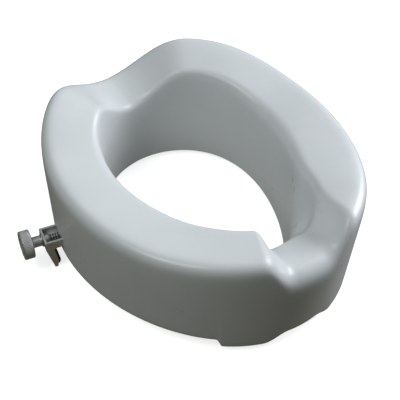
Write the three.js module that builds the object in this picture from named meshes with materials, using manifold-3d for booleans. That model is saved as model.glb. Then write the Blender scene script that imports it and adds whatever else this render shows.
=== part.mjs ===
// Raised toilet seat with two screw clamps. Millimetres, +Z up, front towards -Y,
// origin under the middle of the seat at the height of the claw tips.
import * as THREE from 'three';
import { mergeVertices } from 'three/addons/utils/BufferGeometryUtils.js';
import Module from 'manifold-3d';

const wasm = await Module();
wasm.setup();

// ---- driving dimensions -------------------------------------------------

const GAP = 0.3;                      // between pieces that touch
const WALL = 4;                       // moulded wall of the shell
const WALL_FOOT = 19.5;               // height of the outer wall's lower edge

const OUTER = { width: 354, length: 414, taper: 0.056, lobes: 0.011, square: -0.009, shift: 0 };
const OUTER_FOOT = { width: 346.4, length: 392, taper: 0.074, lobes: 0, square: 0.003, shift: -4.2 };
const OPENING = { width: 202.5, length: 288, taper: 0.182, lobes: 0.007, square: -0.013, shift: 0.6 };
const OPENING_FOOT = { width: 195.6, length: 269.6, taper: 0.208, lobes: 0.017, square: -0.013, shift: 2.2 };

const SIDE_HEIGHT = 110.6;            // seat top over the wall's lower edge, at the sides
const FRONT_RISE = { height: 13.8, half: 0.75, soft: 1.3 };
const REAR_RISE = { height: 19.3, half: 1.03, soft: 1.1 };
const REAR_SADDLE = { height: 40.4, half: 0.295, soft: 0.71 };
const FRONT_NOTCH = {                 // a channel that runs slightly askew, in mm and degrees
  turn: 14.5,
  outer: { x: 3, y: -195, depth: 28.5, half: 40, soft: 46 },
  inner: { y: -145, depth: 34.2, half: 36, soft: 26 },
};
const NOTCH_SHOULDER = { more: 8, half: 48, soft: 44 };  // the shoulder grows where the notch leaves
const CONTOUR_TURN = 5.5;             // degrees; the top's contour is turned against the outline
// Fall of the seat top into the opening, and how fast it sets in.
const TOP_FALL = {
  side: 7.7,
  front: { height: 10, half: 0.6, soft: 0.6 },
  rear: { height: 12.5, half: 0.9, soft: 0.8 },
  curve: 1.2,
};
const SHOULDER = 12.8;                // radius from the outer wall to the seat top
const LIP = { side: 16, ends: 9 };    // radius from the seat top into the opening
const INNER_BREAK = 45;               // height where the inner wall leaves its funnel
const FUNNEL = { reach: 14, middle: 0.56, half: 0.25, soft: 0.5 };  // on the right of the notch only
const SKIRT = 12.2;                   // inner wall below the outer wall's lower edge
const STATIONS = { notch: 16, front: 14, rear: 18 };  // cross-sections along each stretch
const LUG = { depth: 11.5, from: 11.8, ramp: 8, to: 34.1, step: 0.6 };  // degrees from the front
const LIP_CLEAR = 0.6;                // share of the lip's radius that the hidden face cuts across

const PLATE = { bottom: WALL_FOOT + 2, thickness: 3, outerMargin: 1, innerMargin: 3 };
const PLATE_SCREW_ANGLES = [-120, -58, 0, 58, 120, 180];
const PLATE_SCREW = { shank: 1.7, hole: 2.3, length: 18, head: 3.5, headHeight: 2.2 };
const TOWER = { radius: 5, hole: 2.1, holeTop: PLATE.bottom + 22, underTop: 2.8 };
const RIM_PAD = { width: 26, thickness: 2.7, spans: [[22, 46], [134, 156]] };

// Each clamp has its own frame: origin in the middle of the knob, +X along the screw
// towards the seat, +Z up.
const CLAMP = { x: 209.7, y: 51, z: WALL_FOOT + 17.5, yaw: -9 };
const KNOB = { radius: 17, thickness: 12, flutes: 24, fluteDepth: 0.5, hub: 6.4, flare: 2 };
const KNOB_CAP = { radius: 8.5, thickness: 1.5, chamfer: 0.7 };
const SCREW = { radius: 4, end: 90, chamfer: 1.5, hexAcross: 13, headStart: -4.2, headEnd: 1.8, hole: 4.4 };
const ARM = { start: 19, end: 95, half: 13.5, wall: 2.6, bottom: -5.8, top: 5.6, floor: 1.4 };
const SLOT = { start: 33, end: 61, clearance: 1.2 };  // in the outer wall, for the arm
const WASHER = { radius: 8, thickness: 1.2 };
const COLLAR = { radius: 6.5, length: 5, chamfer: 1, room: 2, clearance: 0.6 };
const CLAW = { tip: -37, bend: -27.5, thickness: 9.3, outerLean: 14.5, innerLean: 10, tipThickness: 3.4 };
const CLAW_PAD = { thickness: 2.8, tipThickness: 2.2, half: 12.5, top: -9, bottom: -33 };
const GUIDE = { start: 47, end: 102, clearance: 0.4, wall: 3, top: ARM.top + 0.1 };
const NUT = { start: 58, end: 68, stemHalf: 7, stemBottom: -3, flangeOver: 1, flangeHeight: 3, bore: 4.4 };
const COVER = { start: 52, end: 74, half: 25, thickness: 3, screwOffset: 21, boss: 3.6 };
const COVER_SCREW = { shank: 1.3, pilot: 1.7, hole: 1.8, length: 11, head: 3, headHeight: 2 };
const PAN_HEAD = { crown: 0.8, point: 0.4, pointLength: 1.5, driveHalf: 0.5, driveReach: 0.6 };

const BODY = new THREE.MeshStandardMaterial({ color: 0xcdd3d6, roughness: 0.42, metalness: 0 });
const FITTING = new THREE.MeshStandardMaterial({ color: 0xb8bbb8, roughness: 0.35, metalness: 1 });
const CAP = new THREE.MeshStandardMaterial({ color: 0xc2c6c8, roughness: 0.45, metalness: 0 });
const RUBBER = new THREE.MeshStandardMaterial({ color: 0x1d1e20, roughness: 0.85, metalness: 0 });
const STEEL = new THREE.MeshStandardMaterial({ color: 0xb9bcbe, roughness: 0.3, metalness: 1 });
const BRASS = new THREE.MeshStandardMaterial({ color: 0xb59a58, roughness: 0.35, metalness: 1 });

// ---- solids ---------------------------------------------------------------

function toSolid(geometry) {
  const bare = geometry.clone();
  for (const name of Object.keys(bare.attributes)) if (name !== 'position') bare.deleteAttribute(name);
  const merged = mergeVertices(bare, 1e-4);
  const index = merged.index.array;
  const triVerts = [];
  for (let i = 0; i < index.length; i += 3) {
    const [a, b, c] = [index[i], index[i + 1], index[i + 2]];
    if (a !== b && b !== c && c !== a) triVerts.push(a, b, c);
  }
  const build = (order) => new wasm.Manifold(new wasm.Mesh({
    numProp: 3,
    vertProperties: new Float32Array(merged.attributes.position.array),
    triVerts: new Uint32Array(order),
  }));
  const solid = build(triVerts);
  return solid.volume() > 0 ? solid : build(triVerts.reverse());
}

function toMesh(name, solid, material) {
  const { vertProperties, triVerts } = solid.getMesh();
  const geometry = new THREE.BufferGeometry();
  geometry.setAttribute('position', new THREE.BufferAttribute(new Float32Array(vertProperties), 3));
  geometry.setIndex(new THREE.BufferAttribute(new Uint32Array(triVerts), 1));
  geometry.computeVertexNormals();
  const mesh = new THREE.Mesh(geometry, material);
  mesh.name = name;
  return mesh;
}

// A block between two corners.
function block(low, high) {
  const size = high.map((value, i) => value - low[i]);
  const middle = high.map((value, i) => (value + low[i]) / 2);
  return toSolid(new THREE.BoxGeometry(...size).translate(...middle));
}

// A body turned about the X axis; profile is [x, radius] pairs off the axis.
function turned(profile, sides = 24) {
  const first = profile[0];
  const last = profile[profile.length - 1];
  const points = [[first[0], 0], ...profile, [last[0], 0]].map(([x, r]) => new THREE.Vector2(r, x));
  return toSolid(new THREE.LatheGeometry(points, sides).rotateZ(-Math.PI / 2));
}

// An upright cylinder on (x, y).
function post(x, y, low, high, radius) {
  const geometry = new THREE.CylinderGeometry(radius, radius, high - low, 12);
  return toSolid(geometry.rotateX(Math.PI / 2).translate(x, y, (low + high) / 2));
}

// A plan outline pushed up from low to high.
function slab(points, low, high) {
  const shape = new THREE.Shape(points);
  const geometry = new THREE.ExtrudeGeometry(shape, { depth: high - low, bevelEnabled: false });
  return toSolid(geometry.translate(0, 0, low));
}

// A cross-section drawn around the X axis, pushed along it from low to high.
function prism(points, low, high) {
  const shape = new THREE.Shape(points);
  const geometry = new THREE.ExtrudeGeometry(shape, { depth: high - low, bevelEnabled: false });
  return toSolid(geometry.translate(0, 0, low).rotateY(Math.PI / 2));
}

// A side outline in X and Z, given a width across Y.
function sideways(points, half) {
  const shape = new THREE.Shape(points.map(([x, z]) => new THREE.Vector2(x, z)));
  const geometry = new THREE.ExtrudeGeometry(shape, { depth: 2 * half, bevelEnabled: false });
  return toSolid(geometry.translate(0, 0, -half).rotateX(Math.PI / 2));
}

function hexagon(across) {
  const radius = across / Math.sqrt(3);
  return Array.from({ length: 6 }, (_, i) => {
    const angle = (i * Math.PI) / 3;
    return new THREE.Vector2(radius * Math.cos(angle), radius * Math.sin(angle));
  });
}

// ---- the seat's form --------------------------------------------------------

const radians = THREE.MathUtils.degToRad;

// 1 within half either side of zero, 0 outside, blended over soft.
function hump({ half, soft }, t) {
  return THREE.MathUtils.smootherstep(half + soft / 2 - Math.abs(t), 0, soft);
}

const fromRear = (t) => Math.PI - Math.abs(t);

// An angle along the outline, counted from the middle of the top's contour.
function onContour(t) {
  const turned = t - radians(CONTOUR_TURN);
  return turned < -Math.PI ? turned + 2 * Math.PI : turned;
}

// A point of an egg-shaped outline; t runs from -pi to pi, with 0 at the front.
function egg({ width, length, taper, lobes, square, shift }, t) {
  const x = (width / 2) * (Math.sin(t) + lobes * Math.sin(3 * t)) * (1 - taper * Math.cos(t));
  const y = (-length / 2 / (1 - square)) * (Math.cos(t) - square * Math.cos(3 * t)) + shift;
  return new THREE.Vector2(x, y);
}

// Height of the seat's crest over the outer wall's lower edge, before the notch.
function crest(t) {
  return SIDE_HEIGHT
    + FRONT_RISE.height * hump(FRONT_RISE, onContour(t))
    + REAR_RISE.height * hump(REAR_RISE, fromRear(t))
    - REAR_SADDLE.height * hump(REAR_SADDLE, fromRear(onContour(t)));
}

// Distance of a plan point from the front notch's middle line.
function acrossNotch({ x, y }) {
  const { turn, outer } = FRONT_NOTCH;
  return (x - outer.x) * Math.cos(radians(turn)) - (y - outer.y) * Math.sin(radians(turn));
}

// Depth of the front notch at a plan point; its sides grow gentler outwards.
function notchDepth(plan) {
  const { outer, inner } = FRONT_NOTCH;
  if (plan.y > 0) return 0;
  const k = THREE.MathUtils.clamp((inner.y - plan.y) / (inner.y - outer.y), 0, 1);
  const half = THREE.MathUtils.lerp(inner.half, outer.half, k);
  const soft = THREE.MathUtils.lerp(inner.soft, outer.soft, k);
  return THREE.MathUtils.lerp(inner.depth, outer.depth, k) * hump({ half, soft }, acrossNotch(plan));
}

function shoulderRadius(t) {
  const plan = egg(OUTER, t);
  return plan.y > 0 ? SHOULDER : SHOULDER + NOTCH_SHOULDER.more * hump(NOTCH_SHOULDER, acrossNotch(plan));
}

// How far the top of the inner wall opens outwards.
const funnelReach = (t) => FUNNEL.reach * hump(FUNNEL, t - FUNNEL.middle);

function topFall(t) {
  const { side, front, rear } = TOP_FALL;
  const atFront = (front.height - side) * hump(front, onContour(t));
  const atRear = (rear.height - side) * hump(rear, fromRear(onContour(t)));
  return side + atFront + atRear;
}

function lipRadius(t) {
  return THREE.MathUtils.lerp(LIP.ends, LIP.side, Math.sin(t) ** 2);
}

// The two front lugs: a soft ramp on the side near the middle, a sharp step at the other end.
function lugDepth(t) {
  const angle = THREE.MathUtils.radToDeg(Math.abs(t));
  const ramp = THREE.MathUtils.smoothstep(angle, LUG.from - LUG.ramp / 2, LUG.from + LUG.ramp / 2);
  const step = THREE.MathUtils.clamp((LUG.to + LUG.step - angle) / LUG.step, 0, 1);
  return LUG.depth * ramp * step;
}

function lerp2(a, b, k) {
  return a.clone().lerp(b, k);
}

// One closed cross-section of the shell: over the outer face, then back along the hidden face.
function shellSection(t) {
  const outer = egg(OUTER, t);
  const outerFoot = egg(OUTER_FOOT, t);
  const opening = egg(OPENING, t);
  const openingFoot = egg(OPENING_FOOT, t);
  const inward = opening.clone().sub(outer).normalize();
  const top = crest(t);
  const fall = topFall(t);
  const lip = lipRadius(t);
  const funnel = funnelReach(t);
  const shoulder = shoulderRadius(t);
  const wallTop = top - shoulder;
  const wallMiddle = (wallTop - notchDepth(outer)) / 2;
  const lipTop = top - fall;
  const roundSteps = [30, 60, 90].map(radians);
  const [firstStep] = roundSteps;
  const points = [];
  const add = (plan, reach, z) => {
    points.push(new THREE.Vector3(plan.x + inward.x * reach, plan.y + inward.y * reach, z + WALL_FOOT));
  };
  const addTop = (plan, reach, z) => {
    add(plan, reach, z);
    const point = points[points.length - 1];
    point.z -= notchDepth(point);
  };
  const shoulderEnd = outer.clone().addScaledVector(inward, shoulder);
  const lipStart = opening.clone().addScaledVector(inward, -lip - funnel);
  const midOuter = lerp2(outerFoot, outer, 0.5);
  const innerBreak = lerp2(opening, openingFoot, (lipTop - lip - INNER_BREAK) / (lipTop - lip + SKIRT));

  add(outerFoot, 0, -lugDepth(t));
  add(midOuter, 0, wallMiddle);
  addTop(outer, 0, wallTop);
  for (const angle of roundSteps) {
    addTop(outer, shoulder * (1 - Math.cos(angle)), wallTop + shoulder * Math.sin(angle));
  }
  for (const k of [1 / 3, 2 / 3, 1]) {
    addTop(lerp2(shoulderEnd, lipStart, k), 0, top - fall * k ** TOP_FALL.curve);
  }
  for (const angle of roundSteps) {
    addTop(lipStart, lip * Math.sin(angle), lipTop - lip * (1 - Math.cos(angle)));
  }
  add(innerBreak, 0, INNER_BREAK);
  add(openingFoot, 0, -SKIRT);

  add(openingFoot, -WALL, -SKIRT);
  add(innerBreak, -WALL, INNER_BREAK);
  addTop(opening, -WALL - funnel, lipTop - lip);
  addTop(opening, -WALL - funnel - lip * LIP_CLEAR, lipTop - WALL);
  addTop(lerp2(shoulderEnd, lipStart, 1 / 2), 0, top - fall * 0.5 ** TOP_FALL.curve - WALL);
  addTop(outer, shoulder, top - WALL);
  addTop(outer, WALL + shoulder * (1 - Math.cos(firstStep)), wallTop + shoulder * Math.sin(firstStep));
  addTop(outer, WALL, wallTop);
  add(midOuter, WALL, wallMiddle);
  add(outerFoot, WALL, -lugDepth(t));
  return points;
}

// Angles of the cross-sections, closer where the form changes fast.
function stations() {
  const half = [];
  const spread = (from, to, count) => {
    for (let i = 0; i < count; i += 1) half.push(from + ((to - from) * i) / count);
  };
  spread(0, LUG.to, STATIONS.notch);
  spread(LUG.to, LUG.to + LUG.step, 1);
  spread(LUG.to + LUG.step, 90, STATIONS.front);
  spread(90, 180, STATIONS.rear);
  half.push(180);
  const mirrored = half.slice(1, -1).reverse().map((angle) => -angle);
  return [...mirrored, ...half].map(radians);
}

// Joins closed cross-sections into a closed ring.
function ring(sections) {
  const rows = sections[0].length;
  const positions = sections.flat().flatMap((point) => point.toArray());
  const index = [];
  for (let i = 0; i < sections.length; i += 1) {
    const here = i * rows;
    const next = ((i + 1) % sections.length) * rows;
    for (let row = 0; row < rows; row += 1) {
      const above = (row + 1) % rows;
      index.push(here + row, next + row, next + above, here + row, next + above, here + above);
    }
  }
  const geometry = new THREE.BufferGeometry();
  geometry.setAttribute('position', new THREE.Float32BufferAttribute(positions, 3));
  geometry.setIndex(index);
  return toSolid(geometry);
}

// A plan point of the hidden space, from the outer wall (0) to the inner wall (1).
function planPoint(t, k) {
  return egg(OUTER_FOOT, t).lerp(egg(OPENING_FOOT, t), k);
}

const rimMiddle = (t) => planPoint(t, 0.5);

// ---- clamps: shared placing ---------------------------------------------------

function clampMatrix(side) {
  const yaw = side < 0 ? radians(CLAMP.yaw) : Math.PI - radians(CLAMP.yaw);
  return new THREE.Matrix4().makeRotationZ(yaw).setPosition(side * CLAMP.x, CLAMP.y, CLAMP.z);
}

function placed(solid, side) {
  return solid.transform(clampMatrix(side).toArray());
}

const SIDES = [[-1, 'left'], [1, 'right']];

// ---- shell and base plate -------------------------------------------------------

function seatShell() {
  let shell = ring(stations().map(shellSection));
  for (const angle of PLATE_SCREW_ANGLES.map(radians)) {
    const { x, y } = rimMiddle(angle);
    const top = WALL_FOOT + crest(angle) - topFall(angle) / 2 - notchDepth({ x, y });
    const plateTop = PLATE.bottom + PLATE.thickness + GAP;
    shell = shell.add(post(x, y, plateTop, top - TOWER.underTop, TOWER.radius));
    shell = shell.subtract(post(x, y, WALL_FOOT, TOWER.holeTop, TOWER.hole));
  }
  const slotHalf = ARM.half + SLOT.clearance;
  for (const [side] of SIDES) {
    const low = [SLOT.start, -slotHalf, ARM.bottom - SLOT.clearance];
    const high = [SLOT.end, slotHalf, ARM.top + SLOT.clearance];
    shell = shell.subtract(placed(block(low, high), side));
  }
  return toMesh('seat_shell', shell, BODY);
}

function plateRing() {
  const low = PLATE.bottom;
  const high = PLATE.bottom + PLATE.thickness;
  const sections = stations().map((t) => {
    const span = egg(OUTER_FOOT, t).distanceTo(egg(OPENING_FOOT, t));
    const outside = planPoint(t, (WALL + PLATE.outerMargin) / span);
    const inside = planPoint(t, 1 - (WALL + PLATE.innerMargin) / span);
    return [[outside, low], [outside, high], [inside, high], [inside, low]]
      .map(([plan, z]) => new THREE.Vector3(plan.x, plan.y, z));
  });
  return ring(sections);
}

// The channel that one clamp arm slides in, with two bosses for its cover screws.
function armGuide() {
  const inner = ARM.half + GUIDE.clearance;
  const outer = inner + GUIDE.wall;
  const foot = PLATE.bottom + PLATE.thickness - 1 - CLAMP.z;
  const bossTop = GUIDE.top + GAP + NUT.flangeHeight;
  const boss = { x: (COVER.start + COVER.end) / 2, foot, top: bossTop };
  let guide = block([GUIDE.start, -outer, foot], [GUIDE.end, outer, GUIDE.top]);
  guide = guide.subtract(block(
    [GUIDE.start - 1, -inner, ARM.bottom - GAP],
    [GUIDE.end + 1, inner, GUIDE.top + 1],
  ));
  for (const y of [-COVER.screwOffset, COVER.screwOffset]) {
    guide = guide.add(post(boss.x, y, boss.foot, boss.top, COVER.boss));
    guide = guide.subtract(post(boss.x, y, boss.top - COVER_SCREW.length, boss.top + 1, COVER_SCREW.pilot));
  }
  return guide;
}

function basePlate() {
  let plate = plateRing();
  for (const angle of PLATE_SCREW_ANGLES.map(radians)) {
    const { x, y } = rimMiddle(angle);
    const above = PLATE.bottom + PLATE.thickness + 1;
    plate = plate.subtract(post(x, y, PLATE.bottom - 1, above, PLATE_SCREW.hole));
  }
  for (const [side] of SIDES) plate = plate.add(placed(armGuide(), side));
  return toMesh('base_plate', plate, BODY);
}

// A pan-head screw along +X, with its head at the origin and a cross drive in the head.
function panScrew(name, { shank, length, head, headHeight }) {
  const { crown, point, pointLength, driveHalf, driveReach } = PAN_HEAD;
  const end = headHeight + length;
  const profile = [[0, head * crown], [headHeight / 2, head], [headHeight, head], [headHeight, shank],
    [end - pointLength, shank], [end, shank * point]];
  const reach = head * driveReach;
  const upright = block([-1, -driveHalf, -reach], [headHeight / 2, driveHalf, reach]);
  const level = block([-1, -reach, -driveHalf], [headHeight / 2, reach, driveHalf]);
  return toMesh(name, turned(profile, 14).subtract(upright).subtract(level), STEEL);
}

function plateScrews() {
  return PLATE_SCREW_ANGLES.map((angle, i) => {
    const { x, y } = rimMiddle(radians(angle));
    const screw = panScrew(`plate_screw_${i + 1}`, PLATE_SCREW);
    screw.rotation.y = -Math.PI / 2;
    screw.position.set(x, y, PLATE.bottom - GAP - PLATE_SCREW.headHeight);
    return screw;
  });
}

// Curved rubber pads under the base plate, which rest on the bowl's rim.
function rimPads() {
  const spans = RIM_PAD.spans.flatMap(([from, to]) => [[-to, -from], [from, to]]);
  return spans.map(([from, to], i) => {
    const steps = 8;
    const edge = (offset) => Array.from({ length: steps + 1 }, (_, n) => {
      const t = radians(from + ((to - from) * n) / steps);
      const middle = rimMiddle(t);
      const across = egg(OPENING_FOOT, t).sub(egg(OUTER_FOOT, t)).normalize();
      return middle.addScaledVector(across, offset);
    });
    const outline = [...edge(-RIM_PAD.width / 2), ...edge(RIM_PAD.width / 2).reverse()];
    const top = PLATE.bottom - GAP;
    return toMesh(`rim_pad_${i + 1}`, slab(outline, top - RIM_PAD.thickness, top), RUBBER);
  });
}

// ---- one clamp, in its own frame --------------------------------------------------

const washerStart = ARM.start - GAP - WASHER.thickness;
const hubEnd = washerStart - GAP;

function knob(name) {
  const count = KNOB.flutes * 4;
  const outline = Array.from({ length: count }, (_, i) => {
    const angle = (i * 2 * Math.PI) / count;
    const radius = KNOB.radius - KNOB.fluteDepth * (0.5 - 0.5 * Math.cos(KNOB.flutes * angle));
    return new THREE.Vector2(radius * Math.cos(angle), radius * Math.sin(angle));
  });
  const half = KNOB.thickness / 2;
  let solid = prism(outline, -half, half);
  const { hub, flare } = KNOB;
  solid = solid.add(turned([[half - 1, hub + flare], [half + flare, hub], [hubEnd, hub]]));
  solid = solid.subtract(prism(hexagon(SCREW.hexAcross + 2 * GAP), -half - GAP, SCREW.headEnd + GAP));
  const capSeat = KNOB_CAP.thickness + GAP - half;
  solid = solid.subtract(turned([[-half - 1, KNOB_CAP.radius + GAP], [capSeat, KNOB_CAP.radius + GAP]]));
  solid = solid.subtract(turned([[0, SCREW.radius + GAP], [hubEnd + 1, SCREW.radius + GAP]]));
  return toMesh(name, solid, FITTING);
}

function knobCap(name) {
  const face = -KNOB.thickness / 2;
  const { radius, thickness, chamfer } = KNOB_CAP;
  const profile = [[face, radius - chamfer], [face + chamfer, radius], [face + thickness, radius]];
  return toMesh(name, turned(profile), CAP);
}

function clampScrew(name) {
  const { radius, end, chamfer, hexAcross, headStart, headEnd } = SCREW;
  const head = prism(hexagon(hexAcross), headStart, headEnd);
  const rod = turned([[headStart + 1, radius], [end - chamfer, radius], [end, radius - chamfer]]);
  return toMesh(name, head.add(rod), STEEL);
}

function bored(profile, radius) {
  const low = profile[0][0] - 1;
  const high = profile[profile.length - 1][0] + 1;
  return turned(profile).subtract(turned([[low, radius], [high, radius]]));
}

function thrustWasher(name) {
  const { radius, thickness } = WASHER;
  const profile = [[washerStart, radius], [washerStart + thickness, radius]];
  return toMesh(name, bored(profile, SCREW.radius + GAP), STEEL);
}

function screwCollar(name) {
  const { radius, length, chamfer } = COLLAR;
  const start = ARM.start + ARM.wall + GAP;
  const end = start + length;
  const profile = [[start, radius], [end - chamfer, radius], [end, radius - chamfer]];
  return toMesh(name, bored(profile, SCREW.radius + GAP), STEEL);
}

const clawOuter = (z) => ARM.start + (ARM.bottom - z) * Math.tan(radians(CLAW.outerLean));
const clawInner = (z) => ARM.start + CLAW.thickness + (ARM.bottom - z) * Math.tan(radians(CLAW.innerLean));
const clawTipInner = clawOuter(CLAW.tip) + CLAW.tipThickness;

// The sliding arm is an open-topped trough with a claw at its outer end.
function clampBracket(name) {
  const { start, end, half, wall, bottom, top, floor } = ARM;
  const pocketEnd = start + wall + COLLAR.length + COLLAR.room;
  const pocketFloor = -COLLAR.radius - COLLAR.clearance;
  let solid = sideways([
    [start, top], [start, bottom], [clawOuter(CLAW.tip), CLAW.tip], [clawTipInner, CLAW.tip],
    [clawInner(CLAW.bend), CLAW.bend], [clawInner(bottom), bottom], [end, bottom], [end, top],
  ], half);
  const trough = block([start + wall, wall - half, bottom + floor], [end - wall, half - wall, top + 1]);
  const collarPocket = block([start + wall, wall - half, pocketFloor], [pocketEnd, half - wall, 0]);
  const screwHole = turned([[start - 1, SCREW.hole], [start + wall + 1, SCREW.hole]]);
  solid = solid.subtract(trough).subtract(collarPocket).subtract(screwHole);
  return toMesh(name, solid, FITTING);
}

// The rubber follows the claw's inner face and turns round its bend.
function clawPad(name) {
  const { thickness, tipThickness, half, top, bottom } = CLAW_PAD;
  const bendFace = clawInner(CLAW.bend);
  const chamfer = (z) => THREE.MathUtils.mapLinear(z, CLAW.bend, CLAW.tip, bendFace, clawTipInner);
  const pad = sideways([
    [clawInner(top) + GAP, top], [clawInner(CLAW.bend) + GAP, CLAW.bend], [chamfer(bottom) + GAP, bottom],
    [chamfer(bottom) + tipThickness, bottom], [clawInner(CLAW.bend) + thickness, CLAW.bend],
    [clawInner(top) + thickness, top],
  ], half);
  return toMesh(name, pad, RUBBER);
}

// A saddle nut, open below: its stem hangs in the trough and its flange lies on the guide walls.
function clampNut(name) {
  const { start, end, stemHalf, stemBottom } = NUT;
  const flangeLow = GUIDE.top + GAP;
  const stem = block([start, -stemHalf, stemBottom], [end, stemHalf, flangeLow + 1]);
  const flangeHalf = ARM.half + GUIDE.wall;
  const flange = block(
    [NUT.start - NUT.flangeOver, -flangeHalf, flangeLow],
    [NUT.end + NUT.flangeOver, flangeHalf, flangeLow + NUT.flangeHeight - GAP],
  );
  const bore = turned([[NUT.start - 2, NUT.bore], [NUT.end + 2, NUT.bore]]);
  return toMesh(name, stem.add(flange).subtract(bore), BRASS);
}

const coverBottom = GUIDE.top + GAP + NUT.flangeHeight + GAP;
const coverTop = coverBottom + COVER.thickness;

function nutCover(name) {
  let cover = block([COVER.start, -COVER.half, coverBottom], [COVER.end, COVER.half, coverTop]);
  for (const y of [-COVER.screwOffset, COVER.screwOffset]) {
    const middle = (COVER.start + COVER.end) / 2;
    cover = cover.subtract(post(middle, y, coverBottom - 1, coverTop + 1, COVER_SCREW.hole));
  }
  return toMesh(name, cover, BODY);
}

function coverScrews(side) {
  return [-COVER.screwOffset, COVER.screwOffset].map((y, i) => {
    const screw = panScrew(`cover_screw_${side}_${i + 1}`, COVER_SCREW);
    screw.rotation.y = Math.PI / 2;
    screw.position.set((COVER.start + COVER.end) / 2, y, coverTop + GAP + COVER_SCREW.headHeight);
    return screw;
  });
}

function clamp(side, label) {
  const group = new THREE.Group();
  group.applyMatrix4(clampMatrix(side));
  group.add(
    knob(`knob_${label}`),
    knobCap(`knob_cap_${label}`),
    clampScrew(`clamp_screw_${label}`),
    thrustWasher(`thrust_washer_${label}`),
    screwCollar(`screw_collar_${label}`),
    clampBracket(`clamp_bracket_${label}`),
    clawPad(`claw_pad_${label}`),
    clampNut(`clamp_nut_${label}`),
    nutCover(`nut_cover_${label}`),
    ...coverScrews(label),
  );
  return group;
}

const seat = new THREE.Group();
seat.add(seatShell(), basePlate(), ...plateScrews(), ...rimPads());
for (const [side, label] of SIDES) seat.add(clamp(side, label));

export default seat;
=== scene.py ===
"""Raised toilet seat with two screw clamps: the looks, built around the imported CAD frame."""

import math

import bmesh
import bpy
import numpy as np
from mathutils import Matrix, Vector


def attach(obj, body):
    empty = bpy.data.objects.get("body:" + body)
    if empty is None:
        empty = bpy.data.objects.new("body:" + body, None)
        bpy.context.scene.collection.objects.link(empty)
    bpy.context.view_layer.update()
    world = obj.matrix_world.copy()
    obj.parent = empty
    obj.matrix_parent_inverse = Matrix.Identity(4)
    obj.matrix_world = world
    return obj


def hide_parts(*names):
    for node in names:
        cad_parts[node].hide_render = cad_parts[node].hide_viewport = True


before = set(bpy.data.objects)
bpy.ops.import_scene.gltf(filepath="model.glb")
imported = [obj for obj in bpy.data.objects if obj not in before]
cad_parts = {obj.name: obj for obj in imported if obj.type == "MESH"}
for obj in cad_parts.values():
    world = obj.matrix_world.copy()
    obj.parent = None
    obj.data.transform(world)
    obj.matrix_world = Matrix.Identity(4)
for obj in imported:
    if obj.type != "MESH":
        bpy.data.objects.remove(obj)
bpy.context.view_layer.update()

MM = 0.001
GAP = 0.3

# ---- the seat's form, in millimetres, as the CAD has it -----------------------------

WALL = 4.0
WALL_FOOT = 19.5
OUTER = dict(width=354.0, length=414.0, taper=0.056, lobes=0.011, square=-0.009, shift=0.0)
OUTER_FOOT = dict(width=346.4, length=392.0, taper=0.074, lobes=0.0, square=0.003, shift=-4.2)
OPENING = dict(width=202.5, length=288.0, taper=0.182, lobes=0.007, square=-0.013, shift=0.6)
OPENING_FOOT = dict(width=195.6, length=269.6, taper=0.208, lobes=0.017, square=-0.013, shift=2.2)
SIDE_HEIGHT = 110.6
FRONT_RISE = dict(height=13.8, half=0.75, soft=1.3)
REAR_RISE = dict(height=19.3, half=1.03, soft=1.1)
REAR_SADDLE = dict(height=40.4, half=0.295, soft=0.71)
NOTCH_TURN = 14.5
NOTCH_OUTER = dict(x=3.0, y=-195.0, depth=28.5, half=40.0, soft=46.0)
NOTCH_INNER = dict(y=-145.0, depth=34.2, half=36.0, soft=26.0)
NOTCH_SHOULDER = dict(more=8.0, half=48.0, soft=44.0)
CONTOUR_TURN = 5.5
FRONT_FALL = dict(height=10.0, half=0.6, soft=0.6)
REAR_FALL = dict(height=12.5, half=0.9, soft=0.8)
SIDE_FALL = 7.7
SHOULDER = 12.8
LIP = dict(side=16.0, ends=9.0)
INNER_BREAK = 45.0
FUNNEL = dict(reach=14.0, middle=0.56, half=0.25, soft=0.5)
SKIRT = 12.2
EDGE = 1.2
LUG = dict(depth=11.5, start=11.8, ramp=10.0, end=34.4, step=2.4)
RIDGE = dict(high=42.0, low=12.0, drop_from=15.0, drop_to=85.0,
             width=9.0, proud=1.8, fade_from=62.0, fade_to=100.0)
TOP_CURVE = 1.2
HIDDEN_SIDE = dict(fall=0.44, shoulder=0.13, lip=0.6)

# how finely the seat is divided: round it, and over each stretch of its section

STATIONS = 720
STEPS = dict(edge=3, wall=15, shoulder=12, top=18, lip=12, funnel=9, skirt=14)
SMOOTH_FROM = 12
SMOOTH_PASSES = 10

# ---- the clamps, in their own frames: knob at the origin, +X towards the seat -----------

CLAMP = dict(x=209.7, y=51.0, z=37.0, yaw=-9.0)
KNOB = dict(radius=17.0, half=6.0, ridges=60, ridge_depth=0.35, hub=6.4, hub_end=17.2, columns=480)
KNOB_BORE = dict(radius=4.6, start=1.0, end=-2.5)
KNOB_NECK_BORE = dict(radius=4.4, depth=2.0)
KNOB_DISH = dict(inner=11.0, outer=13.6, slope=0.6, depth=0.5)
CAP_RECESS_EDGE = dict(depth=0.2, width=0.4)
RIM_ROUND = dict(first=0.25, middle=0.5, second=0.9, end=1.3, in_face=1.1)
RIM_ROWS = 4
AXIS = 0.2
KNOB_CAP = dict(radius=8.5, thickness=1.5)
SCREW = dict(radius=4.0, root=3.15, pitch=3.0, start=20.0, end=90.0)
SHANK = dict(radius=3.9, start=1.4, relief=1.0)
THREAD = dict(flank_out=0.72, flank=0.30, run_in=2.0, rows_per_pitch=14, columns=48)
SCREW_TIP = dict(length=1.6, slope=0.9)
ARM = dict(start=19.0, end=95.0, half=13.5, wall=2.6, bottom=-5.8, top=5.6, floor=1.4)
SLOT = dict(start=33.0, end=61.0, clearance=1.2)
CLAW = dict(tip=-37.0, bend=-27.5, thickness=9.3, outer_lean=14.5, inner_lean=10.0, tip_thickness=3.4)
CLAW_FILLET = dict(radius=2.5, steps=5)
CLAW_PAD = dict(thickness=2.8, half=12.5, top=-9.0, bottom=-33.0, foot=0.8)
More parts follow.
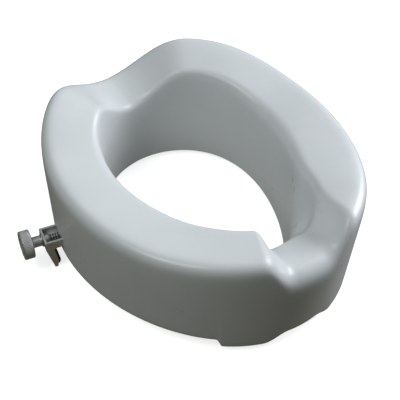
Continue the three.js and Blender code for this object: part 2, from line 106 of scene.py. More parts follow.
PAD_GROOVE = dict(count=5, half=0.7, floor_half=0.35, depth=0.5)
COLLAR_LENGTH = 5.0
COLLAR_RADIUS = 6.5
COLLAR_ROOM = dict(along=2.0, below=0.6)
SCREW_CLEARANCE = 0.4
SIDES = {"left": -1, "right": 1}
SHARP_ANGLE = dict(shell=50, knob=40, cap=45, screw=38)

# ---- camera and light -----------------------------------------------------------------

CAMERA = dict(azimuth=-35.29, elevation=43.68, roll=2.34, distance=0.9655, aim_height=0.0695,
              lens=72.46, shift_x=-0.0069, shift_y=-0.04)
LIGHT_DISTANCE = 2.2
LIGHT_AIM = 0.08
GLOW_BELOW = (0.1, 0.09, 0.05, 1)
GLOW_OVERHEAD = (0.4, 0.42, 0.43, 1)
DARK_AT = 0.6
STAGE_GLOW = (0.93, 0.935, 0.94, 1)


# ---- mesh helpers ---------------------------------------------------------------------

def new_object(name, vertices, faces, smooth=True):
    mesh = bpy.data.meshes.new(name)
    mesh.from_pydata([tuple(v) for v in vertices], [], faces)
    mesh.update()
    obj = bpy.data.objects.new(name, mesh)
    bpy.context.scene.collection.objects.link(obj)
    tidy_normals(obj)
    for polygon in mesh.polygons:
        polygon.use_smooth = smooth
    return obj


def tidy_normals(obj):
    work = bmesh.new()
    work.from_mesh(obj.data)
    bmesh.ops.remove_doubles(work, verts=work.verts, dist=1e-6)
    bmesh.ops.recalc_face_normals(work, faces=work.faces)
    work.to_mesh(obj.data)
    work.free()


def grid_faces(rows, columns, wrap_rows):
    """Quads of a grid whose columns close on themselves, and its rows too if wrap_rows."""
    faces = []
    for i in range(rows if wrap_rows else rows - 1):
        for j in range(columns):
            here, above = i * columns, ((i + 1) % rows) * columns
            following = (j + 1) % columns
            faces.append((here + j, here + following, above + following, above + j))
    return faces


def extruded(name, outline, half):
    """A side outline in X and Z, in millimetres, given a width across Y."""
    count = len(outline)
    vertices = [(x * MM, y * MM, z * MM) for y in (-half, half) for x, z in outline]
    faces = [tuple(range(count)), tuple(range(2 * count - 1, count - 1, -1))]
    faces += [(i, (i + 1) % count, count + (i + 1) % count, count + i) for i in range(count)]
    return new_object(name, vertices, faces, smooth=False)


def turned(name, profile, columns=72, wobble=None):
    """A body turned about X from [x, radius] pairs; wobble(row, angle) changes a radius."""
    vertices = []
    for row, (x, radius) in enumerate(profile):
        for column in range(columns):
            angle = 2 * math.pi * column / columns
            r = radius + (wobble(row, angle) if wobble else 0.0)
            vertices.append((x * MM, r * math.cos(angle) * MM, r * math.sin(angle) * MM))
    faces = grid_faces(len(profile), columns, wrap_rows=False)
    faces.append(tuple(range(columns)))
    faces.append(tuple(range((len(profile) - 1) * columns, len(profile) * columns)))
    return new_object(name, vertices, faces)


def box_object(name, low, high):
    outline = [(low[0], low[2]), (high[0], low[2]), (high[0], high[2]), (low[0], high[2])]
    obj = extruded(name, outline, (high[1] - low[1]) / 2)
    obj.data.transform(Matrix.Translation((0, (high[1] + low[1]) / 2 * MM, 0)))
    return obj


def apply_modifiers(obj):
    graph = bpy.context.evaluated_depsgraph_get()
    mesh = bpy.data.meshes.new_from_object(obj.evaluated_get(graph))
    obj.modifiers.clear()
    obj.data = mesh


def cut(obj, *cutters):
    """Takes the cutters out of obj and removes them."""
    for cutter in cutters:
        boolean = obj.modifiers.new("cut", "BOOLEAN")
        boolean.operation = "DIFFERENCE"
        boolean.solver = "EXACT"
        boolean.object = cutter
    apply_modifiers(obj)
    for cutter in cutters:
        bpy.data.objects.remove(cutter)


def round_edges(obj, width, segments=3, angle=30):
    """Rounds the sharp edges, so that they catch the light."""
    bevel = obj.modifiers.new("rounded", "BEVEL")
    bevel.width = width * MM
    bevel.segments = segments
    bevel.limit_method = "ANGLE"
    bevel.angle_limit = math.radians(angle)
    bevel.use_clamp_overlap = True
    normals = obj.modifiers.new("normals", "WEIGHTED_NORMAL")
    normals.keep_sharp = True


def place(obj, side):
    """From a clamp's own frame to the row frame."""
    yaw = math.radians(CLAMP["yaw"])
    turn = yaw if side < 0 else math.pi - yaw
    spot = Matrix.Translation((side * CLAMP["x"] * MM, CLAMP["y"] * MM, CLAMP["z"] * MM))
    obj.data.transform(spot @ Matrix.Rotation(turn, 4, "Z"))
    return obj


def finish_piece(obj, body, material, slot_name, *nodes):
    obj.data.materials.clear()
    obj.data.materials.append(material)
    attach(obj, body)
    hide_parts(*nodes)


# ---- materials --------------------------------------------------------------------------

class Nodes:
    """A material's node tree with short calls for the nodes used here."""

    def __init__(self, name):
        self.material = bpy.data.materials.new(name)
        self.material.use_nodes = True
        self.tree = self.material.node_tree
        self.shader = self.tree.nodes["Principled BSDF"]
        self.place = self.add("ShaderNodeTexCoord").outputs["Object"]

    def add(self, kind, **values):
        node = self.tree.nodes.new(kind)
        for key, value in values.items():
            setattr(node, key, value)
        return node

    def link(self, output, socket):
        self.tree.links.new(output, socket)

    def noise(self, scale, detail=3.0, roughness=0.5, stretch=None):
        node = self.add("ShaderNodeTexNoise")
        node.inputs["Scale"].default_value = scale
        node.inputs["Detail"].default_value = detail
        node.inputs["Roughness"].default_value = roughness
        source = self.place
        if stretch:
            mapping = self.add("ShaderNodeMapping")
            mapping.inputs["Scale"].default_value = stretch
            self.link(source, mapping.inputs["Vector"])
            source = mapping.outputs["Vector"]
        self.link(source, node.inputs["Vector"])
        return node.outputs["Fac"]

    def spread(self, value, low, high, to_low, to_high):
        """Maps value from low..high to to_low..to_high."""
        node = self.add("ShaderNodeMapRange")
        self.link(value, node.inputs["Value"])
        limits = {"From Min": low, "From Max": high, "To Min": to_low, "To Max": to_high}
        for key, number in limits.items():
            node.inputs[key].default_value = number
        return node.outputs["Result"]

    def mix(self, factor, first, second):
        node = self.add("ShaderNodeMix", data_type="RGBA")
        self.link(factor, node.inputs["Factor"])
        for socket, value in ((node.inputs["A"], first), (node.inputs["B"], second)):
            if isinstance(value, tuple):
                socket.default_value = (*value, 1.0)
            else:
                self.link(value, socket)
        return node.outputs["Result"]

    def bump(self, height, strength, distance, after=None):
        node = self.add("ShaderNodeBump")
        node.inputs["Strength"].default_value = strength
        node.inputs["Distance"].default_value = distance
        self.link(height, node.inputs["Height"])
        if after is not None:
            self.link(after, node.inputs["Normal"])
        return node.outputs["Normal"]

    def edges(self, low, high):
        """0 in the flats, 1 on worn convex edges."""
        return self.spread(self.add("ShaderNodeNewGeometry").outputs["Pointiness"], low, high, 0.0, 1.0)

    def set(self, values):
        for key, value in values.items():
            self.shader.inputs[key].default_value = value


def seat_plastic():
    """Satin moulded plastic: fine orange-peel grain, faint cloudiness, rubbed edges."""
    n = Nodes("seat_plastic")
    clouds = n.noise(14, detail=4)
    tone = n.mix(n.spread(clouds, 0.35, 0.65, 0.0, 1.0), (0.745, 0.775, 0.785), (0.785, 0.812, 0.822))
    rubbed = n.edges(0.52, 0.60)
    n.link(n.mix(rubbed, tone, (0.83, 0.85, 0.855)), n.shader.inputs["Base Color"])
    haze = n.noise(38, detail=5, roughness=0.6)
    n.link(n.spread(haze, 0.3, 0.7, 0.27, 0.37), n.shader.inputs["Roughness"])
    waves = n.bump(n.noise(9, detail=1), 0.25, 0.0012)
    grain = n.bump(n.noise(1500, detail=2), 0.10, 0.00008, after=waves)
    n.link(grain, n.shader.inputs["Normal"])
    n.set({"Metallic": 0.0, "Specular IOR Level": 0.5})
    return n.material


def clamp_metal():
    """Satin cast alloy, lightly brushed along the arm, brighter where it is rubbed."""
    n = Nodes("clamp_metal")
    brushing = n.noise(260, detail=4, stretch=(0.12, 1.0, 1.0))
    tone = n.mix(n.spread(brushing, 0.3, 0.7, 0.0, 1.0), (0.78, 0.79, 0.775), (0.87, 0.88, 0.87))
    n.link(n.mix(n.edges(0.51, 0.58), tone, (0.82, 0.82, 0.80)), n.shader.inputs["Base Color"])
    n.link(n.spread(n.noise(120, detail=5), 0.3, 0.7, 0.24, 0.42), n.shader.inputs["Roughness"])
    cast = n.bump(n.noise(700, detail=3), 0.18, 0.0001)
    n.link(n.bump(brushing, 0.12, 0.00008, after=cast), n.shader.inputs["Normal"])
    n.set({"Metallic": 0.75})
    return n.material


def screw_steel():
    """Zinc-plated steel, with painted shade darkening it low in the threads."""
    n = Nodes("screw_steel")
    depth = n.add("ShaderNodeAttribute", attribute_name="root").outputs["Fac"]
    specks = n.noise(420, detail=4)
    plated = n.mix(n.spread(specks, 0.3, 0.7, 0.0, 1.0), (0.60, 0.61, 0.60), (0.72, 0.73, 0.72))
    # painted shade: the thread roots are darkened towards near-black, standing in for the shade in the
    # grooves
    root_shade_painted = n.spread(depth, 0.2, 1.0, 0.0, 0.85)
    n.link(n.mix(root_shade_painted, plated, (0.10, 0.09, 0.075)), n.shader.inputs["Base Color"])
    n.link(n.spread(depth, 0.0, 1.0, 0.22, 0.5), n.shader.inputs["Roughness"])
    n.link(n.bump(specks, 0.1, 0.00006), n.shader.inputs["Normal"])
    n.set({"Metallic": 1.0})
    return n.material


def hidden_metal(name, dark, light, roughness):
    n = Nodes(name)
    specks = n.noise(300, detail=4)
    n.link(n.mix(n.spread(specks, 0.3, 0.7, 0.0, 1.0), dark, light), n.shader.inputs["Base Color"])
    n.link(n.spread(specks, 0.3, 0.7, roughness - 0.06, roughness + 0.08), n.shader.inputs["Roughness"])
    n.link(n.bump(specks, 0.1, 0.00006), n.shader.inputs["Normal"])
    n.set({"Metallic": 1.0})
    return n.material


def black_rubber():
    """Matt rubber with a fine grain and dusty, greyed edges."""
    n = Nodes("black_rubber")
    dust = n.noise(90, detail=6, roughness=0.65)
    tone = n.mix(n.spread(dust, 0.4, 0.75, 0.0, 1.0), (0.016, 0.016, 0.017), (0.045, 0.043, 0.04))
    n.link(n.mix(n.edges(0.51, 0.60), tone, (0.085, 0.083, 0.08)), n.shader.inputs["Base Color"])
    n.link(n.spread(dust, 0.3, 0.7, 0.62, 0.82), n.shader.inputs["Roughness"])
    n.link(n.bump(n.noise(1300, detail=3), 0.35, 0.00015), n.shader.inputs["Normal"])
    n.set({"Metallic": 0.0, "Specular IOR Level": 0.35})
    return n.material


def cap_plastic():
    n = Nodes("cap_plastic")
    clouds = n.noise(60, detail=4)
    tone = n.mix(n.spread(clouds, 0.35, 0.65, 0.0, 1.0), (0.60, 0.615, 0.625), (0.66, 0.675, 0.685))
    n.link(tone, n.shader.inputs["Base Color"])
    n.link(n.spread(clouds, 0.3, 0.7, 0.34, 0.46), n.shader.inputs["Roughness"])
    n.link(n.bump(n.noise(1400, detail=2), 0.12, 0.00008), n.shader.inputs["Normal"])
    n.set({"Metallic": 0.0})
    return n.material


SEAT_PLASTIC = seat_plastic()
CLAMP_METAL = clamp_metal()
SCREW_STEEL = screw_steel()
PLAIN_STEEL = hidden_metal("plain_steel", (0.50, 0.51, 0.51), (0.62, 0.63, 0.63), 0.32)
PLAIN_BRASS = hidden_metal("plain_brass", (0.60, 0.45, 0.22), (0.72, 0.56, 0.30), 0.34)
BLACK_RUBBER = black_rubber()
CAP_PLASTIC = cap_plastic()


# ---- seat shell -----------------------------------------------------------------------

def hump(t, half, soft, **_):
    """1 within half either side of zero, 0 outside, blended over soft; ignores other values."""
    u = min(max((half + soft / 2 - abs(t)) / soft, 0.0), 1.0)
    return u ** 3 * (u * (6 * u - 15) + 10)


def from_rear(t):
    return math.pi - abs(t)


def on_contour(t):
    """An angle along the outline, counted from the middle of the top's contour."""
    turned_back = t - math.radians(CONTOUR_TURN)
    return turned_back + 2 * math.pi if turned_back < -math.pi else turned_back


def mix(a, b, k):
    return a + (b - a) * k


def smoothstep(x, low, high):
    u = min(max((x - low) / (high - low), 0.0), 1.0)
    return u * u * (3 - 2 * u)


def egg(form, t):
    """A point of an egg-shaped outline; t is 0 at the front."""
    lobes, square = form["lobes"], form["square"]
    x = form["width"] / 2 * (math.sin(t) + lobes * math.sin(3 * t)) * (1 - form["taper"] * math.cos(t))
    y = -form["length"] / 2 / (1 - square) * (math.cos(t) - square * math.cos(3 * t)) + form["shift"]
    return Vector((x, y))


def crest(t):
    """Height of the seat's crest over the outer wall's lower edge, before the notch."""
    front, rear = on_contour(t), from_rear(on_contour(t))
    rise = FRONT_RISE["height"] * hump(front, **FRONT_RISE)
    rise += REAR_RISE["height"] * hump(from_rear(t), **REAR_RISE)
    return SIDE_HEIGHT + rise - REAR_SADDLE["height"] * hump(rear, **REAR_SADDLE)


def across_notch(x, y):
    """Distance of a plan point from the front notch's middle line."""
    turn = math.radians(NOTCH_TURN)
    return (x - NOTCH_OUTER["x"]) * math.cos(turn) - (y - NOTCH_OUTER["y"]) * math.sin(turn)


def notch_depth(x, y):
    """Depth of the front notch at a plan point; its sides grow gentler outwards."""
    if y > 0:
        return 0.0
    k = min(max((NOTCH_INNER["y"] - y) / (NOTCH_INNER["y"] - NOTCH_OUTER["y"]), 0.0), 1.0)
    depth, half, soft = (mix(NOTCH_INNER[key], NOTCH_OUTER[key], k) for key in ("depth", "half", "soft"))
    return depth * hump(across_notch(x, y), half, soft)


def top_fall(t):
    front, rear = on_contour(t), from_rear(on_contour(t))
    at_front = (FRONT_FALL["height"] - SIDE_FALL) * hump(front, **FRONT_FALL)
    return SIDE_FALL + at_front + (REAR_FALL["height"] - SIDE_FALL) * hump(rear, **REAR_FALL)


def lug_depth(t):
    angle = math.degrees(abs(t))
    ramp = smoothstep(angle, LUG["start"] - LUG["ramp"] / 2, LUG["start"] + LUG["ramp"] / 2)
    return LUG["depth"] * ramp * (1 - smoothstep(angle, LUG["end"] - LUG["step"], LUG["end"]))


def arc(count):
    """The angles of a quarter turn in that many steps."""
    return [math.pi / 2 * i / count for i in range(count + 1)]


def between(stretch):
    """Fractions along a stretch of the section, without its two ends."""
    return [i / STEPS[stretch] for i in range(1, STEPS[stretch])]


def shell_section(t):
    """One closed cross-section: up the outside, over the top, down the opening and back within.

    Also gives the number of the point where the smoothed stretch ends.
    """
    outer, outer_foot = egg(OUTER, t), egg(OUTER_FOOT, t)
    opening, opening_foot = egg(OPENING, t), egg(OPENING_FOOT, t)
    inward = (opening - outer).normalized()
    top, fall, lug = crest(t), top_fall(t), lug_depth(t)
    lip = mix(LIP["ends"], LIP["side"], math.sin(t) ** 2)
    funnel = FUNNEL["reach"] * hump(t - FUNNEL["middle"], **FUNNEL)
    shoulder = SHOULDER
    if outer.y < 0:
        shoulder += NOTCH_SHOULDER["more"] * hump(across_notch(*outer), **NOTCH_SHOULDER)
    wall_top, lip_top = top - shoulder, top - fall
    lip_low = lip_top - lip
    shoulder_end, lip_start = outer + inward * shoulder, opening - inward * (lip + funnel)
    points = []

    def add(plan, reach, z):
        points.append((*(plan + inward * reach), z))

    def add_top(plan, reach, z):
        x, y = plan + inward * reach
        points.append((x, y, z - notch_depth(x, y)))

    # lower edge and outer wall
    for a in arc(STEPS["edge"]):
        add(outer_foot, EDGE * (1 - math.sin(a)), -lug + EDGE * (1 - math.cos(a)))
    wall_end = wall_top - notch_depth(*outer)
    for k in between("wall"):
        add(outer_foot.lerp(outer, k), 0, mix(-lug + EDGE, wall_end, k))
    # shoulder, top, lip
    for a in arc(STEPS["shoulder"]):
        add_top(outer, shoulder * (1 - math.cos(a)), wall_top + shoulder * math.sin(a))
    for k in between("top"):
        add_top(shoulder_end.lerp(lip_start, k), 0, top - fall * k ** TOP_CURVE)
    for a in arc(STEPS["lip"]):
        add_top(lip_start, lip * math.sin(a), lip_top - lip * (1 - math.cos(a)))
    # inner wall: a funnel down to its break, then steeper, with a soft ridge low down
    lip_end = lip_low - notch_depth(*(opening - inward * funnel))
    broken = opening.lerp(opening_foot, (lip_low - INNER_BREAK) / (lip_low + SKIRT))
    for k in between("funnel"):
        add((opening - inward * funnel).lerp(broken, k), 0, mix(lip_end, INNER_BREAK, k))
    angle = math.degrees(abs(t))
    dropped = smoothstep(angle, RIDGE["drop_from"], RIDGE["drop_to"])
    ridge_z = mix(RIDGE["high"], RIDGE["low"], dropped)
    proud = RIDGE["proud"] * (1 - smoothstep(angle, RIDGE["fade_from"], RIDGE["fade_to"]))
    for k in (0, *between("skirt")):
        z = mix(INNER_BREAK, -SKIRT + EDGE, k)
        ridge = max(0.0, 1 - abs(z - ridge_z) / RIDGE["width"])
        add(broken.lerp(opening_foot, k), proud * ridge, z)
    for a in arc(STEPS["edge"]):
        add(opening_foot, -EDGE * (1 - math.cos(a)), -SKIRT + EDGE * (1 - math.sin(a)))
    smooth_end = len(points) - len(arc(STEPS["edge"]))
    # hidden faces
    add(opening_foot, -WALL, -SKIRT)
    add(broken, -WALL, INNER_BREAK)
    add_top(opening, -WALL - funnel, lip_low)
    add_top(opening, -WALL - funnel - lip * HIDDEN_SIDE["lip"], lip_top - WALL)
    add_top(shoulder_end.lerp(lip_start, 0.5), 0, top - fall * HIDDEN_SIDE["fall"] - WALL)
    add_top(outer, shoulder, top - WALL)
    add_top(outer, WALL + shoulder * HIDDEN_SIDE["shoulder"], wall_top + shoulder / 2)
    add_top(outer, WALL, wall_top)
    add(outer_foot.lerp(outer, 0.5), WALL, wall_end / 2)
    add(outer_foot, WALL, -lug)
    return np.array(points), smooth_end


def build_shell():
    """The seat as one closed shell, its upper form smoothed, with a slot for each arm."""
    sections = []
    for i in range(STATIONS):
        points, smooth_end = shell_section(-math.pi + 2 * math.pi * i / STATIONS)
        sections.append(points)
    grid = np.array(sections)
    first = SMOOTH_FROM
    for _ in range(SMOOTH_PASSES):
        inside = grid[:, first:smooth_end]
        before, after = grid[:, first - 1:smooth_end - 1], grid[:, first + 1:smooth_end + 1]
        grid[:, first:smooth_end] = (before + 2 * inside + after) / 4
    grid[:, :, 2] += WALL_FOOT
    rows, columns = grid.shape[0], grid.shape[1]
    faces = grid_faces(rows, columns, wrap_rows=True)
    shell = new_object("seat_body", grid.reshape(-1, 3) * MM, faces)
    slot_half = ARM["half"] + SLOT["clearance"]
    slots = []
    for side in SIDES.values():
        low = (SLOT["start"], -slot_half, ARM["bottom"] - SLOT["clearance"])
        high = (SLOT["end"], slot_half, ARM["top"] + SLOT["clearance"])
        slots.append(place(box_object("slot", low, high), side))
    cut(shell, *slots)
    for polygon in shell.data.polygons:
        polygon.use_smooth = True
    shell.data.set_sharp_from_angle(angle=math.radians(SHARP_ANGLE["shell"]))
    finish_piece(shell, "seat", SEAT_PLASTIC, "seat_plastic", "seat_shell")


# ---- clamps ------------------------------------------------------------------------------

def build_knob(label, side):
    """A turned knob with a finely ridged rim, a dished face and a smooth neck."""
    radius, half, hub, neck_end = KNOB["radius"], KNOB["half"], KNOB["hub"], KNOB["hub_end"]
    cap_seat = KNOB_CAP["radius"] + GAP
    bore, neck_bore, dish, rim = KNOB_BORE, KNOB_NECK_BORE, KNOB_DISH, RIM_ROUND
    dish_floor = -half + dish["depth"]
    bore_and_recess = [
        (bore["start"], AXIS), (bore["start"], bore["radius"]), (bore["end"], bore["radius"]),
        (bore["end"], cap_seat), (-half + CAP_RECESS_EDGE["depth"], cap_seat),
        (-half, cap_seat + CAP_RECESS_EDGE["width"])]
    face = [
        (-half, dish["inner"] - dish["slope"]), (dish_floor, dish["inner"]),
        (dish_floor, dish["outer"]), (-half, dish["outer"] + dish["slope"]),
        (-half, radius - rim["in_face"]), (-half + rim["first"], radius - rim["middle"]),
        (-half + rim["second"], radius)]
    rim_width = 2 * (half - rim["end"])
    ribbed = [(-half + rim["end"] + i * rim_width / RIM_ROWS, radius) for i in range(RIM_ROWS + 1)]
    back = [
        (half - rim["second"], radius), (half - rim["first"], radius - rim["middle"]),
        (half, radius - rim["in_face"])]
    neck = [
        (half, hub + 3.0), (half + 0.35, hub + 1.5), (half + 1.2, hub + 0.4), (half + 2.6, hub),
        (neck_end - 0.5, hub), (neck_end - 0.1, hub - 0.2), (neck_end, hub - 0.6),
        (neck_end, neck_bore["radius"]), (neck_end - neck_bore["depth"], neck_bore["radius"]),
        (neck_end - neck_bore["depth"], AXIS)]
    profile = bore_and_recess + face + ribbed + back + neck
    rim_start = len(bore_and_recess + face)
    rim_end = rim_start + RIM_ROWS

    def ridges(row, angle):
        if row < rim_start or row > rim_end:
            return 0.0
        return -KNOB["ridge_depth"] * (0.5 - 0.5 * math.cos(KNOB["ridges"] * angle)) ** 1.5

    knob = turned(f"knob_wheel_{label}", profile, columns=KNOB["columns"], wobble=ridges)
    knob.data.set_sharp_from_angle(angle=math.radians(SHARP_ANGLE["knob"]))
    finish_piece(place(knob, side), f"screw_{label}", CLAMP_METAL, "clamp_metal", f"knob_{label}")


def build_knob_cap(label, side):
    """A shallow domed cap over the screw's head."""
    radius, face = KNOB_CAP["radius"], -KNOB["half"]
    back = face + KNOB_CAP["thickness"]
    dome = [(face + 0.02, AXIS), (face + 0.03, 4.0), (face + 0.12, 6.4), (face + 0.3, 7.7)]
    edge = [(face + 0.6, radius - 0.15), (face + 1.0, radius), (back, radius), (back, AXIS)]
    profile = dome + edge
    cap = turned(f"knob_badge_cap_{label}", profile, columns=96)
    cap.data.set_sharp_from_angle(angle=math.radians(SHARP_ANGLE["cap"]))
    finish_piece(place(cap, side), f"screw_{label}", CAP_PLASTIC, "cap_plastic", f"knob_cap_{label}")


def thread_depth(along):
    """How deep a trapezoid thread is cut, 0 to 1, at a distance of 0 to 1 into one pitch."""
    from_groove = abs(along - 0.5) * 2
    return min(max((THREAD["flank_out"] - from_groove) / THREAD["flank"], 0.0), 1.0)


def build_screw(label, side):
    """A plain shank that runs into a real helical thread with a chamfered end."""
    columns, step = THREAD["columns"], SCREW["pitch"] / THREAD["rows_per_pitch"]
    start, end, crest_r, root_r = SCREW["start"], SCREW["end"], SCREW["radius"], SCREW["root"]
    shank = SHANK["radius"]
    rows = [(SHANK["start"], AXIS), (SHANK["start"], shank), (start - SHANK["relief"], shank)]
    count = int((end - start) / step)
    rows += [(start + i * step, None) for i in range(count + 1)]
    rows.append((start + count * step, AXIS))
    vertices, roots = [], []
    for x, radius in rows:
        for column in range(columns):
            angle = 2 * math.pi * column / columns
            groove, r = 0.0, radius
            if radius is None:
                groove = thread_depth(((x - start) / SCREW["pitch"] - column / columns) % 1.0)
                groove *= smoothstep(x, start, start + THREAD["run_in"])
                into_tip = max(0.0, x - (end - SCREW_TIP["length"]))
                r = min(mix(crest_r, root_r, groove), crest_r - into_tip * SCREW_TIP["slope"])
            vertices.append((x * MM, r * math.cos(angle) * MM, r * math.sin(angle) * MM))
            roots.append(groove)
    faces = grid_faces(len(rows), columns, wrap_rows=False)
    faces.append(tuple(range(columns)))
    faces.append(tuple(range((len(rows) - 1) * columns, len(rows) * columns)))
    screw = new_object(f"clamp_thread_{label}", vertices, faces)
    attribute = screw.data.attributes.new("root", "FLOAT", "POINT")
    attribute.data.foreach_set("value", roots[:len(screw.data.vertices)])
    screw.data.set_sharp_from_angle(angle=math.radians(SHARP_ANGLE["screw"]))
    finish_piece(place(screw, side), f"screw_{label}", SCREW_STEEL, "steel", f"clamp_screw_{label}")


def claw_outer(z):
    return ARM["start"] + (ARM["bottom"] - z) * math.tan(math.radians(CLAW["outer_lean"]))


def claw_inner(z):
    return ARM["start"] + CLAW["thickness"] + (ARM["bottom"] - z) * math.tan(math.radians(CLAW["inner_lean"]))


def claw_tip_inner():
    return claw_outer(CLAW["tip"]) + CLAW["tip_thickness"]


def build_bracket(label, side):
    """The open-topped sliding arm with the claw at its outer end, in one casting."""
    start, end, half, wall = ARM["start"], ARM["end"], ARM["half"], ARM["wall"]
    bottom, top, floor = ARM["bottom"], ARM["top"], ARM["floor"]
    fillet, steps = CLAW_FILLET["radius"], CLAW_FILLET["steps"]
    corner, fillet_low = claw_inner(bottom), bottom - fillet
    outline = [(start, top), (start, bottom), (claw_outer(CLAW["tip"]), CLAW["tip"]),
               (claw_tip_inner(), CLAW["tip"]), (claw_inner(CLAW["bend"]), CLAW["bend"]),
               (claw_inner(fillet_low), fillet_low)]
    for i in range(1, steps):
        a = math.pi / 2 * i / steps
        reach = fillet * (1 - math.cos(a))
        x = mix(claw_inner(fillet_low), corner, i / steps) + reach
        outline.append((x, bottom - fillet * (1 - math.sin(a))))
    outline += [(corner + fillet, bottom), (end, bottom), (end, top)]
    bracket = extruded(f"clamp_arm_{label}", outline, half)
    inside_low, inside_high = start + wall, half - wall
    trough_low = (inside_low, -inside_high, bottom + floor)
    trough = box_object("trough", trough_low, (end - wall, inside_high, top + 1))
    pocket_end = inside_low + COLLAR_LENGTH + COLLAR_ROOM["along"]
    pocket_low = -COLLAR_RADIUS - COLLAR_ROOM["below"]
    pocket = box_object("pocket", (inside_low, -inside_high, pocket_low), (pocket_end, inside_high, 0))
    hole_r = SCREW["radius"] + SCREW_CLEARANCE
    hole = turned("hole", [(start - 1, hole_r), (inside_low + 1, hole_r)], columns=48)
    cut(bracket, trough, pocket, hole)
    round_edges(bracket, 0.55)
    place(bracket, side)
    finish_piece(bracket, f"bracket_{label}", CLAMP_METAL, "clamp_metal", f"clamp_bracket_{label}")


def build_claw_pad(label, side):
    """A rubber facing with shallow grip grooves across it."""
    thickness, half = CLAW_PAD["thickness"], CLAW_PAD["half"]
    top, bottom, bend = CLAW_PAD["top"], CLAW_PAD["bottom"], CLAW["bend"]
    chamfer_end = mix(claw_inner(bend), claw_tip_inner(), (bottom - bend) / (CLAW["tip"] - bend))
    outline = [(claw_inner(top) + GAP, top), (claw_inner(bend) + GAP, bend), (chamfer_end + GAP, bottom),
               (chamfer_end + thickness * CLAW_PAD["foot"], bottom), (claw_inner(bend) + thickness, bend)]
    width, floor_width = PAD_GROOVE["half"], PAD_GROOVE["floor_half"]
    for i in range(PAD_GROOVE["count"]):
        z = mix(bend, top, (i + 0.5) / PAD_GROOVE["count"])
        face = claw_inner(z) + thickness
        floor = face - PAD_GROOVE["depth"]
        outline += [(face, z - width), (floor, z - floor_width), (floor, z + floor_width), (face, z + width)]
    outline.append((claw_inner(top) + thickness, top))
    pad = extruded(f"claw_rubber_{label}", outline, half)
    round_edges(pad, 0.25, segments=2, angle=25)
    finish_piece(place(pad, side), f"bracket_{label}", BLACK_RUBBER, "pad_rubber", f"claw_pad_{label}")


# ---- CAD nodes that keep their shape --------------------------------------------------------

def dress(node, material, width, segments=2):
    """Gives a CAD node its material and small rounded edges."""
    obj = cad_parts[node]
    for material_slot in obj.material_slots:
        material_slot.material = material
    weld = obj.modifiers.new("weld", "WELD")
    weld.merge_threshold = 0.00001
    flat = obj.modifiers.new("flat", "DECIMATE")
    flat.decimate_type = "DISSOLVE"
    flat.angle_limit = math.radians(0.5)
    round_edges(obj, width, segments=segments, angle=35)


def dress_frame():
    for node in ("base_plate", "nut_cover_left", "nut_cover_right"):
        dress(node, SEAT_PLASTIC, 0.4)
    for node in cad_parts:
        if node.startswith(("plate_screw", "cover_screw")):
            dress(node, PLAIN_STEEL, 0.15)
        elif node.startswith(("thrust_washer", "screw_collar")):
            dress(node, PLAIN_STEEL, 0.2)
        elif node.startswith("clamp_nut"):
            dress(node, PLAIN_BRASS, 0.3)
        elif node.startswith("rim_pad"):
            dress(node, BLACK_RUBBER, 0.6, segments=3)


# ---- floor, light and camera ---------------------------------------------------------------

def stage_material(name, base, glow):
    """A matt surface of an even grey that also gives off a pale glow."""
    material = bpy.data.materials.new(name)
    material.use_nodes = True
    shader = material.node_tree.nodes["Principled BSDF"]
    shader.inputs["Base Color"].default_value = (base, base, base, 1)
    shader.inputs["Roughness"].default_value = 0.9
    shader.inputs["Specular IOR Level"].default_value = 0.0
    shader.inputs["Emission Color"].default_value = STAGE_GLOW
    shader.inputs["Emission Strength"].default_value = glow
    return material


def build_stage():
    """A pale floor and a pale wall all round; neither throws light back on the object."""
    reach, segments = 6.0, 96
    rim = [(reach * math.cos(a), reach * math.sin(a)) for a in
           (2 * math.pi * i / segments for i in range(segments))]
    floor = new_object("floor", [(x, y, 0.0) for x, y in rim], [tuple(range(segments))])
    wall = new_object(
        "backdrop", [(x, y, z) for z in (-0.001, 5.0) for x, y in rim],
        [(i, (i + 1) % segments, segments + (i + 1) % segments, segments + i) for i in range(segments)])
    floor.data.materials.append(stage_material("pale_floor", base=0.9, glow=0.8))
    wall.data.materials.append(stage_material("pale_wall", base=0.0, glow=1.04))
    for obj in (floor, wall):
        obj.visible_diffuse = False
        obj.visible_glossy = False
    wall.visible_shadow = False


def area_light(name, azimuth, elevation, size, power, colour):
    """A round soft light at that angle round the seat, aimed at its middle."""
    data = bpy.data.lights.new(name, "AREA")
    data.shape = "DISK"
    data.size = size
    data.energy = power
    data.color = colour
    light = bpy.data.objects.new(name, data)
    bpy.context.scene.collection.objects.link(light)
    a, e = math.radians(azimuth), math.radians(elevation)
    away = Vector((math.sin(a) * math.cos(e), -math.cos(a) * math.cos(e), math.sin(e)))
    light.location = Vector((0, 0, LIGHT_AIM)) + away * LIGHT_DISTANCE
    light.rotation_euler = away.to_track_quat("Z", "Y").to_euler()


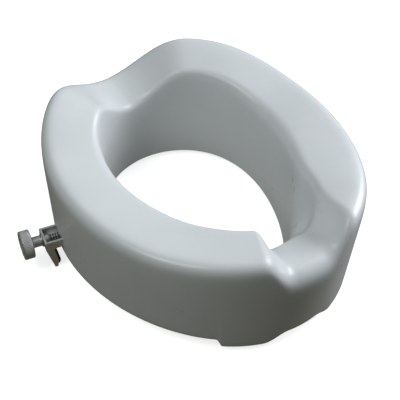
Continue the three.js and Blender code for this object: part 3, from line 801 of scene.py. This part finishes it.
def build_world():
    """A cool glow overhead and a dim warm one below, with dark between them."""
    world = bpy.data.worlds.new("soft_room")
    bpy.context.scene.world = world
    world.use_nodes = True
    tree = world.node_tree
    direction = tree.nodes.new("ShaderNodeTexCoord").outputs["Generated"]
    split = tree.nodes.new("ShaderNodeSeparateXYZ")
    tree.links.new(direction, split.inputs["Vector"])
    ramp = tree.nodes.new("ShaderNodeValToRGB")
    lift = tree.nodes.new("ShaderNodeMapRange")
    lift.inputs["From Min"].default_value = -1.0
    tree.links.new(split.outputs["Z"], lift.inputs["Value"])
    tree.links.new(lift.outputs["Result"], ramp.inputs["Fac"])
    stops = ramp.color_ramp.elements
    stops[0].position, stops[0].color = 0.0, GLOW_BELOW
    stops[1].position, stops[1].color = DARK_AT, (0.0, 0.0, 0.0, 1)
    stops.new(1.0).color = GLOW_OVERHEAD
    tree.links.new(ramp.outputs["Color"], tree.nodes["Background"].inputs["Color"])


def build_camera():
    azimuth, elevation, roll = (math.radians(CAMERA[key]) for key in ("azimuth", "elevation", "roll"))
    target = Vector((0, 0, CAMERA["aim_height"]))
    back = Vector((math.sin(azimuth) * math.cos(elevation), -math.cos(azimuth) * math.cos(elevation),
                   math.sin(elevation)))
    right = Vector((math.cos(azimuth), math.sin(azimuth), 0))
    up = back.cross(right)
    tilted_right = right * math.cos(roll) + up * math.sin(roll)
    tilted_up = back.cross(tilted_right)
    turn = Matrix((tilted_right, tilted_up, back)).transposed().to_4x4()
    data = bpy.data.cameras.new("camera")
    data.lens = CAMERA["lens"]
    data.shift_x = CAMERA["shift_x"]
    data.shift_y = CAMERA["shift_y"]
    camera = bpy.data.objects.new("camera", data)
    bpy.context.scene.collection.objects.link(camera)
    camera.matrix_world = Matrix.Translation(target + back * CAMERA["distance"]) @ turn
    bpy.context.scene.camera = camera


build_camera()
build_shell()
for label, side in SIDES.items():
    build_knob(label, side)
    build_knob_cap(label, side)
    build_screw(label, side)
    build_bracket(label, side)
    build_claw_pad(label, side)
dress_frame()
build_stage()
build_world()
area_light("window", azimuth=85, elevation=30, size=1.6, power=46, colour=(0.92, 0.95, 1.0))
area_light("left_fill", azimuth=-90, elevation=54, size=0.8, power=11, colour=(0.96, 1.0, 0.97))
bpy.context.scene.view_settings.view_transform = "Standard"
